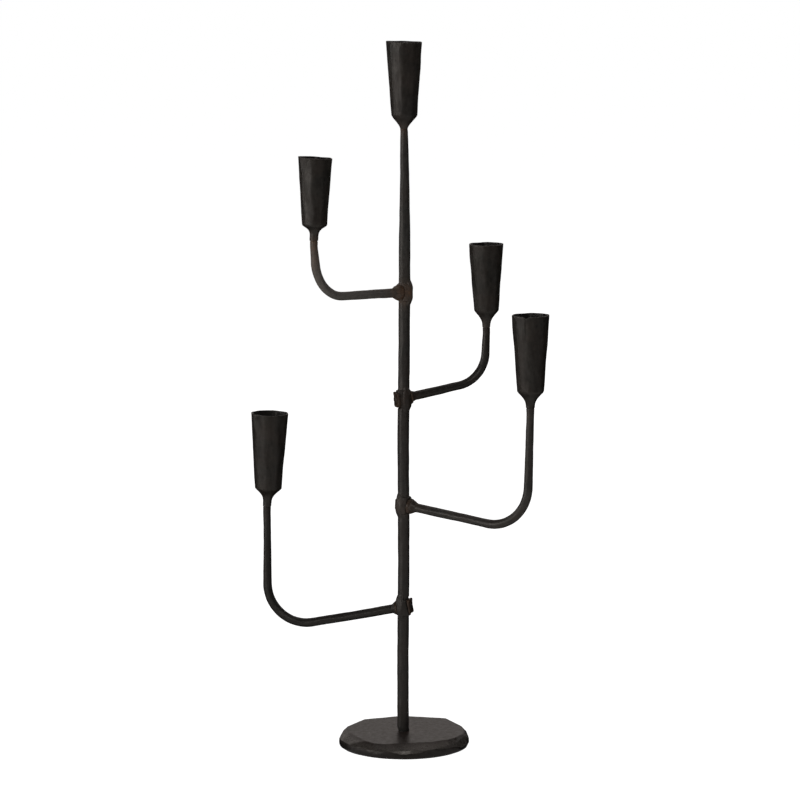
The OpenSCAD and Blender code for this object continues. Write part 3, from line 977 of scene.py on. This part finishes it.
def iron(name, dark, pale, warm, worn, rough, warmth, bump, seed):
    """Oil-blackened iron: mottled scale, brown where it was heated, rubbed edges."""
    material = bpy.data.materials.new(name)
    material.use_nodes = True
    tree = material.node_tree
    tree.nodes.clear()
    out = add(tree, "ShaderNodeOutputMaterial")
    shader = add(tree, "ShaderNodeBsdfPrincipled")
    tree.links.new(shader.outputs[0], out.inputs["Surface"])
    coords = add(tree, "ShaderNodeTexCoord").outputs["Object"]
    broad = noise_node(tree, coords, BROAD, 4, 0.6, seed)
    middle = noise_node(tree, coords, MIDDLING, 5, 0.62, seed + 1)
    fine = noise_node(tree, coords, FINE, 4, 0.6, seed + 2)
    streaks = noise_node(tree, coords, STREAKS, 3, 0.6, seed + 3, STREAK_LENGTH)
    blotches = math_node(tree, "ADD", math_node(tree, "MULTIPLY", middle, 0.55),
                         math_node(tree, "MULTIPLY", streaks, 0.45))
    mottle = remap(tree, blotches, 0.38, 0.64, 0, 1)
    colour = mix_colour(tree, mottle, dark, pale)
    patch = remap(tree, broad, 0.38, 0.62, 0, 1)
    heated = math_node(tree, "MULTIPLY", attribute(tree, "fired"), remap(tree, middle, 0.3, 0.6, 0.35, 1))
    brown = math_node(tree, "MAXIMUM", math_node(tree, "MULTIPLY", patch, warmth), heated)
    colour = mix_colour(tree, brown, colour, warm)
    rubbed = math_node(tree, "MULTIPLY", attribute(tree, "wear"), remap(tree, fine, 0.38, 0.6, 0.2, 1))
    colour = mix_colour(tree, rubbed, colour, worn)
    # Pales the colour by a vertex attribute, towards rust where heated and pale dust elsewhere: real rust and
    # dust, a paler upper stem, and painted light on the upper left arm
    dust_rust_and_light_mix = math_node(tree, "MULTIPLY", attribute(tree, "dust_rust_and_painted_light"), remap(tree, middle, 0.3, 0.62, 0.6, 1))
    colour = mix_colour(tree, dust_rust_and_light_mix, colour, mix_colour(tree, heated, PALE_DUST_AND_LIGHT, RUST))
    # Darkens the colour by a vertex attribute: painted shade inside the cups, along the foot's lowest edge and on
    # the back arms and their eyes, and a darker lower stem
    darkening_and_shade_mix = math_node(tree, "MULTIPLY", attribute(tree, "darkening_and_painted_shade"), 0.9)
    colour = mix_colour(tree, darkening_and_shade_mix, colour, tuple(part * DARKENING_AND_SHADE_SHARE for part in dark))
    tree.links.new(colour, shader.inputs["Base Color"])
    gloss = remap(tree, middle, 0.3, 0.7, rough - 0.07, rough + 0.1)
    gloss = math_node(tree, "SUBTRACT", gloss, math_node(tree, "MULTIPLY", rubbed, 0.08))
    gloss = math_node(tree, "ADD", gloss, math_node(tree, "MULTIPLY", dust_rust_and_light_mix, 0.12))
    tree.links.new(gloss, shader.inputs["Roughness"])
    shader.inputs["Specular IOR Level"].default_value = 0.5
    shader.inputs["Specular Tint"].default_value = (*OIL_TINT, 1)
    pits = add(tree, "ShaderNodeTexVoronoi")
    pits.inputs["Scale"].default_value = PITS
    tree.links.new(coords, pits.inputs["Vector"])
    pit = remap(tree, pits.outputs["Distance"], 0.0, 0.25, 0, 1)
    relief = math_node(tree, "ADD", math_node(tree, "MULTIPLY", fine, 0.35), middle)
    relief = math_node(tree, "ADD", relief, math_node(tree, "MULTIPLY", pit, 0.12))
    raised = add(tree, "ShaderNodeBump")
    raised.inputs["Strength"].default_value = bump
    raised.inputs["Distance"].default_value = RELIEF
    tree.links.new(relief, raised.inputs["Height"])
    tree.links.new(raised.outputs["Normal"], shader.inputs["Normal"])
    return material


bar_iron = iron("forged_bar_iron", linear(33, 33, 32), linear(56, 55, 53), linear(94, 68, 50),
                linear(84, 81, 77), 0.4, 0.15, 0.35, 1)
sheet_iron = iron("rolled_sheet_iron", linear(38, 36, 33), linear(60, 57, 53), linear(78, 65, 57),
                  linear(86, 82, 77), 0.38, 0.3, 0.3, 5)
ring_iron = iron("forged_ring_iron", linear(38, 33, 30), linear(60, 51, 44), linear(100, 73, 54),
                 linear(84, 72, 62), 0.46, 0.5, 0.5, 9)
foot_iron = iron("foot_plate_iron", linear(38, 34, 32), linear(58, 52, 49), linear(72, 58, 52),
                 linear(90, 85, 80), 0.34, 0.25, 0.3, 13)


# ---- assembling ----

def put(piece, body, node, material):
    piece.data.materials.append(material)
    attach(piece, body)
    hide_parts(node)


put(foot("foot_hammered", "foot", 5), "stand", "foot", foot_iron)
put(stem("stem_forged", "stem", 23), "stand", "stem", bar_iron)
put(cup("top_cup_planished", "top", "top_cup"), "stand", "top_cup", sheet_iron)
for number, branch in enumerate(branches):
    body = branch + "_branch"
    joint = joints[body]
    tenon = Axis(joint["pos_m"], joint["axis"], UP)
    put(arm(branch + "_arm_forged", branch, branch + "_arm", 31 + number),
        body, branch + "_arm", bar_iron)
    put(cup(branch + "_cup_planished", branch, branch + "_cup"),
        body, branch + "_cup", sheet_iron)
    put(forged_ring(branch + "_collar_hammered", branch + "_collar", tenon, 7, 0.05, 51 + number,
                    FIRED[branch], RING_RUST[branch]),
        body, branch + "_collar", ring_iron)
    put(forged_ring(branch + "_burr_peened", branch + "_burr", tenon, 5, 0.07, 61 + number,
                    0.6 * FIRED[branch], wedge=tenon.along.z / tenon.side.z),
        body, branch + "_burr", ring_iron)


# ---- floor, light and camera ----

FLOOR_REACH = 28.0
FLOOR_CORNERS = 96
CAMERA_PLACE = (-0.0039, -3.404, 0.879)
CAMERA_PITCH = math.radians(8.8)
CAMERA_LENS = 155.25

turns = [2 * math.pi * k / FLOOR_CORNERS for k in range(FLOOR_CORNERS)]
ring = [(FLOOR_REACH * math.cos(turn), FLOOR_REACH * math.sin(turn), -0.05 * MM) for turn in turns]
floor_mesh = bpy.data.meshes.new("studio_floor")
floor_mesh.from_pydata(ring, [], [tuple(range(FLOOR_CORNERS))])
floor = bpy.data.objects.new("studio_floor", floor_mesh)
bpy.context.scene.collection.objects.link(floor)
floor.visible_diffuse = False
floor.visible_glossy = False
floor.visible_shadow = False
paper = bpy.data.materials.new("studio_paper")
paper.use_nodes = True
paper_shader = paper.node_tree.nodes["Principled BSDF"]
paper_shader.inputs["Base Color"].default_value = (0.8, 0.8, 0.8, 1)
paper_shader.inputs["Roughness"].default_value = 1.0
paper_shader.inputs["Specular IOR Level"].default_value = 0.0
paper_shader.inputs["Emission Color"].default_value = (1, 1, 1, 1)
paper_shader.inputs["Emission Strength"].default_value = 1.0
floor_mesh.materials.append(paper)

world = bpy.data.worlds.new("studio")
bpy.context.scene.world = world
world.use_nodes = True
world.node_tree.nodes["Background"].inputs["Color"].default_value = (1, 1, 1, 1)
world.node_tree.nodes["Background"].inputs["Strength"].default_value = 1.0
world.cycles_visibility.diffuse = False
world.cycles_visibility.glossy = False


def softbox(name, place, target, width, height, power, tint=(1, 1, 1)):
    """An area light at place, aimed at target."""
    data = bpy.data.lights.new(name, "AREA")
    data.color = tint
    data.shape = "RECTANGLE"
    data.size = width
    data.size_y = height
    data.energy = power
    lamp = bpy.data.objects.new(name, data)
    lamp.location = place
    lamp.rotation_euler = (Vector(target) - Vector(place)).to_track_quat("-Z", "Y").to_euler()
    lamp.visible_camera = False
    bpy.context.scene.collection.objects.link(lamp)


MIDDLE = Vector((0, 0, 0.36))
FOOT_TARGET = (0, 0, 0.1)
LIGHT_REACH = 3.0
WARM = (1.0, 0.93, 0.89)


def around(azimuth, elevation):
    """A place on a sphere round the object; azimuth 0 is the viewer's side, negative is left."""
    turn = math.radians(azimuth)
    rise = math.radians(elevation)
    way = Vector((math.cos(rise) * math.sin(turn), -math.cos(rise) * math.cos(turn), math.sin(rise)))
    return MIDDLE + way * LIGHT_REACH


softbox("key_light", around(-56, 4), MIDDLE, 1.3, 1.1, 14)
softbox("side_light", around(-98, 6), MIDDLE, 1.0, 1.4, 7.5)
softbox("front_light", around(-5, 32), MIDDLE, 1.4, 0.9, 11)
softbox("right_front_fill", around(45, 8), MIDDLE, 2.2, 1.6, 1.2)
softbox("right_side_fill", around(92, 22), MIDDLE, 1.2, 1.4, 2.1)
softbox("right_back_fill", around(130, 20), MIDDLE, 1.2, 1.4, 1.9)
softbox("top_light", (-0.1, 0.2, 2.6), MIDDLE, 1.6, 1.6, 2.8)
softbox("back_light", (0.1, 3.4, 1.3), FOOT_TARGET, 3.2, 1.4, 7.8, WARM)
softbox("back_high_light", around(180, 54), FOOT_TARGET, 2.2, 1.3, 5, WARM)
softbox("floor_bounce", (-0.3, -1.0, -0.02), (-0.3, -1.0, 1), 3.0, 2.0, 5)

camera_data = bpy.data.cameras.new("camera")
camera_data.lens = CAMERA_LENS
camera_data.sensor_width = 36
camera = bpy.data.objects.new("camera", camera_data)
camera.location = CAMERA_PLACE
camera.rotation_euler = (math.radians(90) - CAMERA_PITCH, 0, 0)
bpy.context.scene.collection.objects.link(camera)
bpy.context.scene.camera = camera
bpy.context.scene.view_settings.view_transform = "Standard"
